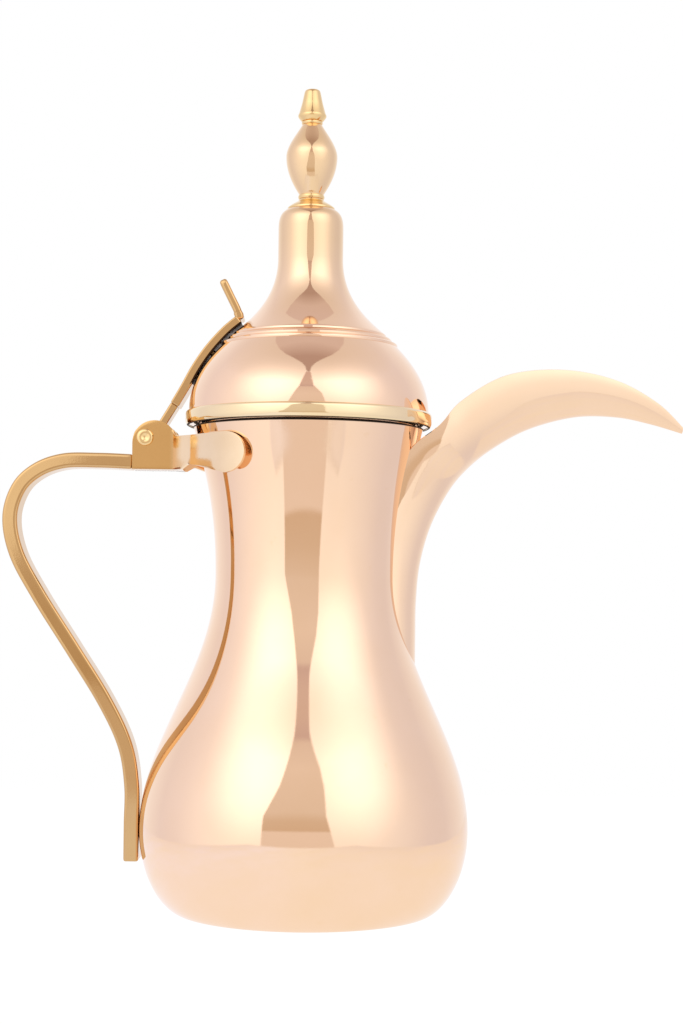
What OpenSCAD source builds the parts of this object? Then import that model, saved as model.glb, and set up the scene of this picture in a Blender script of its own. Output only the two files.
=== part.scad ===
// Dallah: a spun-metal Arabic coffee pot with a crescent beak, a strap handle and a hinged bell lid.
// Millimetres. +Z is up, +X points along the beak, -X along the handle.
// The origin lies on the pot's axis, in the plane of the base.

/* [Pot body] */
// Radius of the flat base
base_r = 48.5; // [46:0.5:50]
// Largest radius of the belly
belly_r = 61.4; // [60:0.2:62]
// Height of the widest part of the belly
belly_z = 30; // [28:1:34]
// Radius of the waist
waist_r = 34.2; // [33:0.2:35]
// Height of the waist
waist_z = 125; // [122:1:128]
// Radius of the mouth
mouth_r = 43; // [42:0.2:43.4]
// Height of the mouth's edge
mouth_z = 180.2; // [180:0.1:180.4]
// Thickness of the spun sheet
sheet = 1; // [0.8:0.1:1.2]

/* [Lid] */
// Outer radius of the rim band
band_r = 46.2; // [46:0.1:46.6]
// Height of the rim band
band_h = 5.4; // [5:0.2:6]
// Radius of the bell's straight neck
neck_r = 12.2; // [11.6:0.2:12.6]
// Height at which the neck ends in its shoulder
shoulder_z = 262; // [260:1:264]
// Clearance between the closed lid and the pot
lid_gap = 0.4; // [0.3:0.1:0.6]

/* [Handle] */
// Width of the handle bar, across the pot
bar_w = 12; // [11:0.5:13]
// Thickness of the handle bar
bar_t = 5.6; // [5:0.2:6]

/* [Hinge] */
// Distance of the hinge pin behind the pot's axis
pin_x = -60.6; // [-61:0.1:-60]
// Height of the hinge pin
pin_z = 175.8; // [175.4:0.1:176.2]
// Radius of the hinge pin
pin_r = 1.6; // [1.4:0.1:1.8]
// Thickness of the bracket's plate
plate = 1.1; // [1:0.1:1.3]
// Free width between the bracket's cheeks
cheek_gap = 10.4; // [10:0.2:11]

/* [Finial] */
// Radius of the screw that holds the finial
rod_r = 1.7; // [1.5:0.1:2]
// Largest radius of the bulb
bulb_r = 9.6; // [9:0.1:9.8]

/* [Hidden] */
$fn = 96;
eps = 0.01;

rose_gold = [0.93, 0.78, 0.67];
yellow_brass = [0.85, 0.66, 0.38];
screw_steel = [0.72, 0.70, 0.66];

// Room for solder between turned faces that sit inside one another.
solder = 0.05;

// Base plate: a disc soldered into the foot of the shell, stiffened by one pressed groove.
base_bore_r = base_r - sheet;
base_plate_r = base_bore_r - solder;
base_plate_t = 1.2;
base_groove_r = 33;
base_groove_w = 6;
base_groove_h = 0.8;

// Strainer: holes in the body wall behind the beak.
strainer_r = 1.9;
strainer_angles = [-12, 0, 12];
strainer_low_z = 104;
strainer_pitch = 9;
strainer_rows = 7;

// Lid: the band hangs round the bell's foot, and the skirt hangs inside the mouth.
band_z = mouth_z + lid_gap;
bell_foot_r = band_r - 1.3;
skirt_r = 40;
skirt_depth = 3;
skirt_flange_h = 1;

// Hinge arm: a narrow foot runs between the cheeks, and a wide strap follows the bell.
arm_t = 3;
arm_foot_w = 9.4;
arm_eye_r = 4.6;
pin_play = 0.05;
// The strap reaches further in from its middle line than out, so that it nearly meets the bell.
arm_inner_t = 1.9;
rivet_r = 1.2;
rivet_play = 0.1;
rivet_head_r = 2.3;
rivet_head_h = 0.9;
// Each arm rivet: its step along the strap's middle line, and how far in from there the bell is.
arm_rivet_seats = [[7, 2.12], [12, 2.41]];

// Bracket: cheeks, flared throat and wings, all folded from one plate.
cheek_y = cheek_gap / 2 + plate;
lobe_r = 8.25;
lobe_at = [-57.1, 173.9];
bracket_z = 164;
wing_top_z = 176.3;
wing_r = 43.1;
wing_end_at = [-29.6, 168.9];
wing_end_r = 7.4;
bracket_back_x = lobe_at[0] - lobe_r;
throat_x = -50.2;
channel_end = [-46.8, 9.8];
wing_low = [-44.2, 165.8];
wing_end_angle = 62;

// Finial joints, from the shoulder up.
ring_z = 266;
bulb_z = 267.8;
neck_ring_z = 294;
tip_z = 295.4;
tip_top_z = 307.2;
screw_top_z = 303;
washer_t = 1;
nut_h = 3.2;
nut_r = 3.9;

// ---- Curves ----

// Point at t on a cubic Bezier curve with the control points b.
function bezier_point(b, t) =
    pow(1 - t, 3) * b[0] + 3 * t * pow(1 - t, 2) * b[1]
    + 3 * t * t * (1 - t) * b[2] + t * t * t * b[3];

// A Bezier curve as n steps, without its last point, so that curves join end to end.
function bezier(b, n) = [for (i = [0 : n - 1]) bezier_point(b, i / n)];

// Point at t between p1 and p2, on a smooth curve that also heads for p0 and p3.
function spline_point(p0, p1, p2, p3, t) =
    0.5 * (2 * p1 + (p2 - p0) * t + (2 * p0 - 5 * p1 + 4 * p2 - p3) * t * t
    + (3 * p1 - p0 - 3 * p2 + p3) * t * t * t);

// A smooth curve through all the points, with n steps from each one to the next.
function spline(points, n) =
    let (last = len(points) - 1)
    [
        for (i = [0 : last - 1])
            let (before = points[max(i - 1, 0)], after = points[min(i + 2, last)])
            for (j = [0 : n - 1])
                spline_point(before, points[i], points[i + 1], after, j / n),
        points[last]
    ];

// The line at distance d to the left of a line of points.
function beside(line, d) =
    let (last = len(line) - 1)
    [
        for (i = [0 : last])
            let (along = line[min(i + 1, last)] - line[max(i - 1, 0)])
            line[i] + d * [-along[1], along[0]] / norm(along)
    ];

function reversed(line) = [for (i = [len(line) - 1 : -1 : 0]) line[i]];

// A strip of thickness t to the left of a line.
function strip(line, t) = concat(line, reversed(beside(line, t)));

// ---- Outlines of the turned parts, as [radius, height] ----

body_line = concat(
    bezier([[base_r, 0], [base_r + 5.5, 2.6], [belly_r, 14], [belly_r, belly_z]], 10),
    bezier([
        [belly_r, belly_z], [belly_r, belly_z + 34],
        [waist_r, waist_z - 36.5], [waist_r, waist_z]
    ], 18),
    bezier([
        [waist_r, waist_z], [waist_r, waist_z + 23],
        [mouth_r - 5, mouth_z - 18], [mouth_r, mouth_z]
    ], 10),
    [[mouth_r, mouth_z]]
);

bell_line = concat(
    [[bell_foot_r, band_z + lid_gap]],
    bezier([[bell_foot_r, 186], [bell_foot_r, 195.5], [40, 203.5], [32.9, 210.6]], 12),
    [[32.9, 210.6]],
    // Two turned steps between the dome and the flare
    [[32.9, 211.6], [30.6, 212.4], [30.6, 213.4], [28.6, 214.4], [28.6, 215.2]],
    bezier([[28.3, 215.4], [21.5, 221], [neck_r + 0.4, 229], [neck_r, 243]], 14),
    [[neck_r, 243]],
    bezier([
        [neck_r, shoulder_z - 7], [neck_r, shoulder_z - 2],
        [neck_r - 1.5, shoulder_z - 1], [neck_r - 3, shoulder_z]
    ], 6),
    [[neck_r - 3, shoulder_z]]
);

// ---- Pot ----

module body_solid() {
    rotate_extrude()
        polygon(concat([[0, 0]], body_line, [[0, mouth_z]]));
}

module strainer_holes() {
    for (row = [0 : strainer_rows - 1], angle = strainer_angles)
        rotate([0, 0, angle])
            translate([waist_r - 8, 0, strainer_low_z + row * strainer_pitch])
                rotate([0, 90, 0])
                    cylinder(r = strainer_r, h = 20, $fn = 32);
}

module body_shell() {
    color(rose_gold)
        difference() {
            rotate_extrude()
                polygon(concat(
                    body_line,
                    reversed([
                        for (p = beside(body_line, sheet))
                            [p[0], min(max(p[1], base_plate_t), mouth_z)]
                    ]),
                    [[base_bore_r, base_plate_t], [base_bore_r, 0]]
                ));
            strainer_holes();
        }
}

module base_plate() {
    groove_in = base_groove_r - base_groove_w / 2;
    groove_out = base_groove_r + base_groove_w / 2;
    color(rose_gold)
        rotate_extrude()
            polygon([
                [0, 0], [groove_in, 0], [base_groove_r, base_groove_h], [groove_out, 0],
                [base_plate_r, 0], [base_plate_r, base_plate_t], [groove_out, base_plate_t],
                [base_groove_r, base_plate_t + base_groove_h], [groove_in, base_plate_t],
                [0, base_plate_t]
            ]);
}

// ---- Beak: an open trough, lofted through sections that stand on its keel ----

// Each section: keel x, keel z, lip x, lip z, half width. The first ones end inside the body.
beak_sections = [
    [41, 88.5, 33, 93, 7],
    [41, 92, 31, 100, 11.5],
    [41, 103, 28, 114, 13],
    [41.1, 116, 27, 130, 13],
    [42.4, 130, 28, 144, 13],
    [46.2, 144, 31, 158, 13.8],
    [52.4, 156.5, 38, 172, 15.6],
    [59, 165, 48.4, 180.6, 16.6],
    [68.5, 173, 56.5, 189.8, 15.6],
    [82.3, 180.8, 73, 199.5, 13.6],
    [99.5, 185.6, 94, 202.1, 10.8],
    [115.2, 185.8, 114, 198.8, 8],
    [128, 183.4, 130, 190.9, 4.8],
    [140, 180, 140.4, 182, 1.3]
];
beak_steps = 3;
// Points on each side of the keel.
beak_sides = 9;
// How far round the section goes from its keel, past the widest point at 90 degrees.
beak_wrap = 96;

beak_line = spline(beak_sections, beak_steps);

// Half a turn of points from one lip over the keel to the other.
function beak_arc(keel, lip, half) = [
    for (i = [-beak_sides : beak_sides])
        let (
            angle = beak_wrap * i / beak_sides,
            rise = (1 - cos(angle)) / (1 - cos(beak_wrap)),
            at = keel + (lip - keel) * rise
        )
        [at[0], half * sin(angle), at[1]]
];

// One closed ring: the outside from lip to lip, and the inside back again.
function beak_ring(s) =
    let (
        keel = [s[0], s[1]],
        lip = [s[2], s[3]],
        up = (lip - keel) / norm(lip - keel),
        floor_t = min(sheet, norm(lip - keel) * 0.4)
    )
    concat(
        beak_arc(keel, lip, s[4]),
        reversed(beak_arc(keel + up * floor_t, lip, s[4] - sheet))
    );

module spout() {
    ring_n = 2 * (2 * beak_sides + 1);
    rings = [for (s = beak_line) beak_ring(s)];
    last = (len(rings) - 1) * ring_n;
    skin = [
        for (k = [0 : len(rings) - 2], i = [0 : ring_n - 1])
            let (a = k * ring_n + i, b = k * ring_n + (i + 1) % ring_n)
            each [[a, b, a + ring_n], [b, b + ring_n, a + ring_n]]
    ];
    // The end rings are closed by quads between the outside and the inside.
    caps = [
        for (i = [0 : 2 * beak_sides - 1])
            let (j = ring_n - 1 - i)
            each [
                [i, j, i + 1], [i + 1, j, j - 1],
                [last + i, last + i + 1, last + j], [last + i + 1, last + j - 1, last + j]
            ]
    ];
    color(rose_gold)
        difference() {
            polyhedron(points = [for (r = rings) each r], faces = concat(skin, caps));
            body_solid();
        }
}

// ---- Handle: a flat bar bent to an open loop, seen from the side as [x, z] ----

handle_foot_z = 17.8;
handle_top_x = -65.3;
handle_line = spline([
    [handle_top_x, 169.5], [-78, 169.9], [-91.4, 169.5], [-102.2, 165.6], [-110, 158],
    [-113.6, 145.8], [-110.8, 131.2], [-102, 115], [-89.2, 95.2], [-77.2, 76.3],
    [-69.6, 60.5], [-67, 46], [-67, 32], [-67, handle_foot_z]
], 4);
tongue_top_z = 169.4;
tongue_end_x = -53;
tongue_play = 0.2;

// Stands an [x, z] outline up and gives it the width w, centred across the pot.
module across(w) {
    rotate([90, 0, 0])
        translate([0, 0, -w / 2])
            linear_extrude(w)
                children();
}

module handle() {
    color(yellow_brass) {
        across(bar_w)
            polygon(strip(handle_line, bar_t));
        // Tongue between the bracket's cheeks
        translate([handle_top_x - eps, -cheek_gap / 2 + tongue_play, bracket_z + plate])
            cube([
                tongue_end_x - handle_top_x + eps,
                cheek_gap - 2 * tongue_play,
                tongue_top_z - bracket_z - plate
            ]);
    }
}

// ---- Hinge bracket ----

// Angle at which the straight part of a wing runs into its round part.
wing_crease = [-43.4, 13.2];
wing_touch = atan2(wing_crease[1], -wing_crease[0]) + acos(wing_r / norm(wing_crease));

// Outer face of one half of the bracket, seen from above.
bracket_plan = concat(
    [[bracket_back_x, cheek_y], [throat_x, cheek_y], wing_crease],
    [for (a = [wing_touch : 3 : wing_end_angle]) wing_r * [-cos(a), sin(a)]]
);

module bracket_outline() {
    translate(lobe_at)
        circle(r = lobe_r);
    polygon([
        [bracket_back_x, bracket_z], [channel_end[0], bracket_z], wing_low,
        [wing_end_at[0], wing_end_at[1] - wing_end_r],
        [wing_end_at[0], wing_top_z], [lobe_at[0], wing_top_z],
        lobe_at, [bracket_back_x, lobe_at[1]]
    ]);
    translate(wing_end_at)
        circle(r = wing_end_r);
}

module hinge_bracket() {
    color(yellow_brass)
        difference() {
            union() {
                for (side = [0, 1])
                    mirror([0, side, 0])
                        intersection() {
                            translate([0, 0, bracket_z - 5])
                                linear_extrude(25)
                                    polygon(strip(bracket_plan, -plate));
                            across(100)
                                bracket_outline();
                        }
                // Floor of the channel, widening towards the pot
                translate([0, 0, bracket_z])
                    linear_extrude(plate)
                        polygon([
                            [bracket_back_x, -cheek_y], [throat_x, -cheek_y],
                            [channel_end[0], -channel_end[1]], channel_end,
                            [throat_x, cheek_y], [bracket_back_x, cheek_y]
                        ]);
            }
            translate([pin_x, 0, pin_z])
                rotate([90, 0, 0])
                    cylinder(r = pin_r, h = 40, center = true);
        }
}

module hinge_pin() {
    head_r = 3.2;
    head_h = 1.1;
    reach = cheek_y;
    color(yellow_brass)
        translate([pin_x, 0, pin_z])
            rotate([90, 0, 0])
                rotate_extrude()
                    polygon([
                        [0, -reach - head_h / 2], [head_r * 0.45, -reach - head_h],
                        [head_r - 0.5, -reach - head_h], [head_r, -reach - 0.4],
                        [head_r, -reach], [pin_r, -reach], [pin_r, reach],
                        [head_r, reach], [head_r, reach + 0.4],
                        [head_r - 0.5, reach + head_h], [head_r * 0.45, reach + head_h],
                        [0, reach + head_h / 2]
                    ]);
}

// ---- Lid ----

arm_foot_line = spline([[-57.9, 175.2], [-54.4, 181.1], [-50.1, 188.2]], 4);
arm_strap_line = spline([
    [-50.1, 188.2], [-46.4, 194.6], [-42.4, 202], [-37.6, 209.1], [-31.6, 215.9], [-26.3, 220.4]
], 4);

// Stands its children's Z axis square to the strap, pointing into the bell.
module on_rivet_axis(step) {
    at = arm_strap_line[step];
    along = arm_strap_line[step + 1] - arm_strap_line[step - 1];
    translate([at[0], 0, at[1]])
        rotate([0, 180 - atan2(along[1], along[0]), 0])
            children();
}

// Countersunk holes through the strap and the bell
module rivet_holes() {
    sink_r = rivet_head_r + rivet_play;
    hole_r = rivet_r + rivet_play;
    sink_z = rivet_head_r - rivet_r - arm_t / 2;
    for (seat = arm_rivet_seats)
        on_rivet_axis(seat[0])
            rotate_extrude($fn = 32)
                polygon([
                    [0, -arm_t / 2 - 1], [sink_r + 1, -arm_t / 2 - 1],
                    [hole_r, sink_z], [hole_r, 10], [0, 10]
                ]);
}

module lid_dome() {
    inner = reversed(beside(bell_line, sheet));
    color(rose_gold)
        difference() {
            rotate_extrude()
                polygon(concat(
                    [[rod_r, shoulder_z], [rod_r, shoulder_z - sheet]],
                    [[neck_r - 3.4, shoulder_z - sheet]],
                    [for (p = inner) if (p[1] < shoulder_z - sheet - 0.3) p],
                    [[bell_foot_r - sheet, band_z + lid_gap]],
                    bell_line
                ));
            rivet_holes();
        }
}

module lid_rim_band() {
    lip = 1.2;
    color(yellow_brass)
        rotate_extrude()
            polygon([
                [bell_foot_r, band_z], [band_r - lip, band_z], [band_r - 0.3, band_z + lip * 0.7],
                [band_r, band_z + lip * 1.5], [band_r, band_z + band_h - 0.9],
                [band_r - 0.4, band_z + band_h - 0.2], [bell_foot_r, band_z + band_h]
            ]);
}

module lid_skirt() {
    inner_r = skirt_r - sheet;
    flange_r = bell_foot_r - sheet - solder;
    flange_z = band_z + lid_gap;
    color(rose_gold)
        rotate_extrude()
            polygon([
                [inner_r, mouth_z - skirt_depth], [skirt_r, mouth_z - skirt_depth],
                [skirt_r, flange_z], [flange_r, flange_z],
                [flange_r, flange_z + skirt_flange_h], [inner_r, flange_z + skirt_flange_h]
            ]);
}

thumb_t = 3;
thumb_line = spline([[-25.2, 222.4], [-25.7, 224.4], [-28.2, 229.4], [-30.9, 234.6]], 3);
thumb_tip = [-32.2, 233.9];

module lid_arm() {
    color(yellow_brass)
        difference() {
            union() {
                across(arm_foot_w) {
                    polygon(strip(beside(arm_foot_line, -arm_t / 2), arm_t));
                    translate([pin_x, pin_z])
                        circle(r = arm_eye_r);
                }
                across(bar_w) {
                    polygon(strip(beside(arm_strap_line, -arm_inner_t), arm_t / 2 + arm_inner_t));
                    polygon(strip(thumb_line, thumb_t));
                    translate([-26.3, 221.8])
                        circle(r = arm_t / 2 + 0.2, $fn = 32);
                    translate(thumb_tip)
                        circle(r = thumb_t / 2, $fn = 32);
                }
            }
            translate([pin_x, 0, pin_z])
                rotate([90, 0, 0])
                    cylinder(r = pin_r + pin_play, h = 40, center = true);
            rivet_holes();
        }
}

// A rivet holds the strap to the bell: its sunk head is flush outside, and it is headed inside.
module arm_rivet(bell) {
    outside = -arm_t / 2;
    inside = bell + sheet + 0.2;
    rotate_extrude($fn = 32)
        polygon([
            [0, outside], [rivet_head_r, outside], [rivet_r, outside + rivet_head_r - rivet_r],
            [rivet_r, inside], [rivet_head_r, inside],
            [rivet_head_r * 0.6, inside + rivet_head_h], [0, inside + rivet_head_h]
        ]);
}

module arm_rivets() {
    color(yellow_brass)
        for (seat = arm_rivet_seats)
            on_rivet_axis(seat[0])
                arm_rivet(seat[1]);
}

// ---- Finial: turned pieces stacked on one screw ----

module turned(outline) {
    rotate_extrude()
        polygon(outline);
}

module finial_collar() {
    color(yellow_brass)
        turned(concat(
            [[rod_r, shoulder_z], [8.9, shoulder_z], [8.9, shoulder_z + 0.6]],
            bezier([
                [8.8, shoulder_z + 0.8], [7, shoulder_z + 2.6], [5, shoulder_z + 2.8],
                [4.7, ring_z]
            ], 6),
            [[4.7, ring_z], [rod_r, ring_z]]
        ));
}

module finial_lower_ring() {
    color(yellow_brass)
        turned([
            [rod_r, ring_z], [4.5, ring_z], [4.9, ring_z + 0.5], [4.9, bulb_z - 0.5],
            [4.6, bulb_z], [rod_r, bulb_z]
        ]);
}

module finial_bulb() {
    waist_of_bulb = 282;
    color(rose_gold)
        turned(concat(
            [[rod_r, bulb_z], [4.5, bulb_z]],
            bezier([[4.6, bulb_z + 0.2], [6.6, 271], [bulb_r, 276], [bulb_r, waist_of_bulb]], 9),
            bezier([
                [bulb_r, waist_of_bulb], [bulb_r, 286], [5.4, 291], [3.7, neck_ring_z]
            ], 9),
            [[3.7, neck_ring_z], [rod_r, neck_ring_z]]
        ));
}

module finial_upper_ring() {
    color(yellow_brass)
        turned([
            [rod_r, neck_ring_z], [3.6, neck_ring_z], [3.9, neck_ring_z + 0.4],
            [3.9, tip_z - 0.3], [3.7, tip_z], [rod_r, tip_z]
        ]);
}

module finial_tip() {
    color(yellow_brass)
        turned([
            [rod_r, tip_z], [4, tip_z], [5.3, tip_z + 1.6], [5.3, tip_z + 2.4],
            [2.9, tip_top_z - 0.7], [2.3, tip_top_z], [0, tip_top_z],
            [0, screw_top_z], [rod_r, screw_top_z]
        ]);
}

screw_low_z = shoulder_z - sheet - washer_t - nut_h - 1.5;

module finial_screw() {
    color(screw_steel)
        translate([0, 0, screw_low_z])
            cylinder(r = rod_r, h = screw_top_z - screw_low_z, $fn = 48);
}

module finial_nut() {
    color(screw_steel)
        translate([0, 0, shoulder_z - sheet - washer_t - nut_h])
            difference() {
                cylinder(r = nut_r, h = nut_h, $fn = 6);
                translate([0, 0, -1])
                    cylinder(r = rod_r, h = nut_h + 2, $fn = 48);
            }
}

module finial_washer() {
    color(screw_steel)
        translate([0, 0, shoulder_z - sheet - washer_t])
            difference() {
                cylinder(r = nut_r + 2.4, h = washer_t, $fn = 64);
                translate([0, 0, -1])
                    cylinder(r = rod_r, h = washer_t + 2, $fn = 48);
            }
}

body_shell();
base_plate();
spout();
handle();
hinge_bracket();
hinge_pin();
lid_dome();
lid_rim_band();
lid_skirt();
lid_arm();
arm_rivets();
finial_collar();
finial_lower_ring();
finial_bulb();
finial_upper_ring();
finial_tip();
finial_screw();
finial_nut();
finial_washer();
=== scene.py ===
import math

import bmesh
import bpy
from mathutils import Matrix, Vector


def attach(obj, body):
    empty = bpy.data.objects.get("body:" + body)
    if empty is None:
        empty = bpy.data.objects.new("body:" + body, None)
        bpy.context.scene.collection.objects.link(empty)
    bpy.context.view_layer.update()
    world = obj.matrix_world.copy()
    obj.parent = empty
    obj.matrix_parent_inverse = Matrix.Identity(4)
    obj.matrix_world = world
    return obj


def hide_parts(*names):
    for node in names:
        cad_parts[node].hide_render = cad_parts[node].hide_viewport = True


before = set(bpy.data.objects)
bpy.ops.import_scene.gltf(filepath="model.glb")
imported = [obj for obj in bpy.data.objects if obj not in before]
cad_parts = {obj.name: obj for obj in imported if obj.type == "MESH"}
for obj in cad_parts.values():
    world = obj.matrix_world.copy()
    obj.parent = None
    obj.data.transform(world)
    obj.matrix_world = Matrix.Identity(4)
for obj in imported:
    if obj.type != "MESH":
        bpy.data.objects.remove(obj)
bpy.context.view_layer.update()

# The pieces are given in millimetres, and MM turns them into metres. The materials, the
# studio and the camera are given in metres.
MM = 0.001

POLISHED = "rose_gold_polished"
BRASS = "brass_polished"
SATIN = "brass_satin"
STEEL = "screw_steel"

TURNED_SEGMENTS = 224
FINIAL_SEGMENTS, BULB_SEGMENTS, PIN_SEGMENTS, RIVET_SEGMENTS, HOLE_SEGMENTS = 128, 160, 96, 48, 28
CREASE = math.radians(28)


# ---- Curves ----

def bezier(a, b, c, d, n):
    """n steps along a cubic Bezier curve, without its last point."""
    out = []
    for i in range(n):
        t = i / n
        s = 1 - t
        out.append(tuple(
            s ** 3 * a[k] + 3 * t * s * s * b[k] + 3 * t * t * s * c[k] + t ** 3 * d[k]
            for k in (0, 1)))
    return out


def spline(points, n):
    """A smooth curve through all the points, with n steps from each one to the next."""
    last = len(points) - 1
    out = []
    for i in range(last):
        p0, p1 = points[max(i - 1, 0)], points[i]
        p2, p3 = points[i + 1], points[min(i + 2, last)]
        for j in range(n):
            t = j / n
            out.append(tuple(
                0.5 * (2 * b + (c - a) * t + (2 * a - 5 * b + 4 * c - d) * t * t
                       + (3 * b - a - 3 * c + d) * t ** 3)
                for a, b, c, d in zip(p0, p1, p2, p3)))
    out.append(tuple(points[-1]))
    return out


def beside(line, d):
    """The line at distance d to the left of a line of 2-D points."""
    out = []
    last = len(line) - 1
    for i, p in enumerate(line):
        a, b = line[max(i - 1, 0)], line[min(i + 1, last)]
        dx, dz = b[0] - a[0], b[1] - a[1]
        size = math.hypot(dx, dz)
        out.append((p[0] - d * dz / size, p[1] + d * dx / size))
    return out


# ---- Meshes ----

def finish_mesh(name, bm, material, crease=CREASE):
    bmesh.ops.remove_doubles(bm, verts=bm.verts, dist=1e-7)
    bmesh.ops.recalc_face_normals(bm, faces=bm.faces)
    mesh = bpy.data.meshes.new(name)
    bm.to_mesh(mesh)
    bm.free()
    mesh.shade_smooth()
    mesh.set_sharp_from_angle(angle=crease)
    obj = bpy.data.objects.new(name, mesh)
    bpy.context.scene.collection.objects.link(obj)
    mesh.materials.append(material)
    return obj


def turn_into(bm, outline, segments=TURNED_SEGMENTS, place=None):
    """Turns a closed (radius, height) outline round +Z into bm, then moves it to place."""
    rings = []
    made = []
    for r, z in outline:
        if r < 1e-6:
            ring = [bm.verts.new((0, 0, z * MM))]
        else:
            ring = [
                bm.verts.new((
                    r * MM * math.cos(2 * math.pi * k / segments),
                    r * MM * math.sin(2 * math.pi * k / segments),
                    z * MM))
                for k in range(segments)]
        rings.append(ring)
        made += ring
    count = len(rings)
    for i in range(count):
        low, high = rings[i], rings[(i + 1) % count]
        if len(low) == 1 and len(high) == 1:
            continue
        for k in range(segments):
            m = (k + 1) % segments
            if len(low) == 1:
                bm.faces.new((low[0], high[k], high[m]))
            elif len(high) == 1:
                bm.faces.new((low[k], low[m], high[0]))
            else:
                bm.faces.new((low[k], low[m], high[m], high[k]))
    if place is not None:
        bmesh.ops.transform(bm, matrix=place, verts=made)


def turned(name, outline, material, segments=TURNED_SEGMENTS):
    bm = bmesh.new()
    turn_into(bm, outline, segments)
    return finish_mesh(name, bm, material)


def rounded_rectangle(half_w, half_t, radius, n=5):
    """A closed section with rounded corners, and extra points that keep its flats flat."""
    out = []
    hold = 0.35 * radius
    corners = [(1, 1, 0), (-1, 1, 90), (-1, -1, 180), (1, -1, 270)]
    for sx, sz, start in corners:
        cx, cz = sx * (half_w - radius), sz * (half_t - radius)
        arc = [
            (cx + radius * math.cos(math.radians(start + 90 * i / n)),
             cz + radius * math.sin(math.radians(start + 90 * i / n)))
            for i in range(n + 1)]
        if start in (0, 180):
            before = (arc[0][0], arc[0][1] - sz * hold)
            after = (arc[-1][0] - sx * hold, arc[-1][1])
        else:
            before = (arc[0][0] - sx * hold, arc[0][1])
            after = (arc[-1][0], arc[-1][1] - sz * hold)
        out += [before] + arc + [after]
    return out


def bar_into(bm, line, width, thick, radius, end_round=0.8):
    """Sweeps a rounded bar along a line of (x, z) points, with both ends rounded."""
    last = len(line) - 1
    steps = 4
    quarter = [math.pi / 2 * k / steps for k in range(steps)]
    rounding = [(end_round * (1 - math.sin(a)), end_round * (1 - math.cos(a))) for a in quarter]
    headings = []
    lengths = [0.0]
    for i in range(len(line)):
        a, b = line[max(i - 1, 0)], line[min(i + 1, last)]
        size = math.hypot(b[0] - a[0], b[1] - a[1])
        headings.append(((b[0] - a[0]) / size, (b[1] - a[1]) / size))
        if i < last:
            c = line[i + 1]
            lengths.append(lengths[-1] + math.hypot(c[0] - line[i][0], c[1] - line[i][1]))
    stations = []
    for sink, back in rounding:
        p, along = line[0], headings[0]
        stations.append(((p[0] + along[0] * back, p[1] + along[1] * back), along, sink))
    for i in range(len(line)):
        if end_round <= lengths[i] <= lengths[-1] - end_round:
            stations.append((line[i], headings[i], 0.0))
    for sink, back in rounding[::-1]:
        p, along = line[-1], headings[-1]
        stations.append(((p[0] - along[0] * back, p[1] - along[1] * back), along, sink))
    made = []
    for at, along, sink in stations:
        section = rounded_rectangle(
            width / 2 - sink, thick / 2 - sink, max(radius - sink, 0.05))
        across = (-along[1], along[0])
        made.append([
            bm.verts.new(((at[0] + across[0] * t) * MM, y * MM, (at[1] + across[1] * t) * MM))
            for y, t in section])
    n = len(made[0])
    for low, high in zip(made, made[1:]):
        for k in range(n):
            m = (k + 1) % n
            bm.faces.new((low[k], low[m], high[m], high[k]))
    bm.faces.new(made[0])
    bm.faces.new(made[-1][::-1])


def cut(obj, tool, operation):
    """Applies one exact boolean to obj and removes the tool."""
    modifier = obj.modifiers.new("cut", "BOOLEAN")
    modifier.operation = operation
    modifier.solver = "EXACT"
    modifier.object = tool
    apply_modifiers(obj)
    bpy.data.objects.remove(tool)


def apply_modifiers(obj):
    bpy.context.view_layer.update()
    graph = bpy.context.evaluated_depsgraph_get()
    mesh = bpy.data.meshes.new_from_object(obj.evaluated_get(graph))
    obj.modifiers.clear()
    old = obj.data
    obj.data = mesh
    bpy.data.meshes.remove(old)
    mesh.name = obj.name


def settle(obj, body, slot, *nodes):
    """The piece rides on its body and stands for its CAD nodes; its slot is not used."""
    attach(obj, body)
    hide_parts(*nodes)


# ---- Materials ----

class Nodes:
    """A small helper that adds nodes to a tree and links them."""

    def __init__(self, tree):
        self.tree = tree

    def add(self, kind, **settings):
        node = self.tree.nodes.new(kind)
        for key, value in settings.items():
            setattr(node, key, value)
        return node

    def link(self, source, target):
        self.tree.links.new(source, target)

    def noise(self, vector, scale, detail=3.0, roughness=0.5):
        node = self.add("ShaderNodeTexNoise")
        node.inputs["Scale"].default_value = scale
        node.inputs["Detail"].default_value = detail
        node.inputs["Roughness"].default_value = roughness
        self.link(vector, node.inputs["Vector"])
        return node.outputs["Fac"]

    def stretch(self, vector, scale):
        node = self.add("ShaderNodeMapping")
        node.inputs["Scale"].default_value = scale
        self.link(vector, node.inputs["Vector"])
        return node.outputs["Vector"]

    def span(self, value, low, high, out_low, out_high):
        node = self.add("ShaderNodeMapRange")
        node.clamp = True
        for key, number in (("From Min", low), ("From Max", high),
                            ("To Min", out_low), ("To Max", out_high)):
            node.inputs[key].default_value = number
        self.link(value, node.inputs["Value"])
        return node.outputs["Result"]

    def blend(self, factor, first, second, mode="MIX"):
        """Blends two colours; each is a colour or an output."""
        node = self.add("ShaderNodeMix", data_type="RGBA", blend_type=mode)
        for value, socket in ((factor, node.inputs["Factor"]), (first, node.inputs[6]),
                              (second, node.inputs[7])):
            if isinstance(value, bpy.types.NodeSocket):
                self.link(value, socket)
            elif isinstance(value, (int, float)):
                socket.default_value = value
            else:
                socket.default_value = (*value, 1)
        return node.outputs[2]

    def math(self, operation, first, second):
        node = self.add("ShaderNodeMath", operation=operation)
        for value, socket in ((first, node.inputs[0]), (second, node.inputs[1])):
            if isinstance(value, (int, float)):
                socket.default_value = value
            else:
                self.link(value, socket)
        return node.outputs["Value"]


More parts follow.
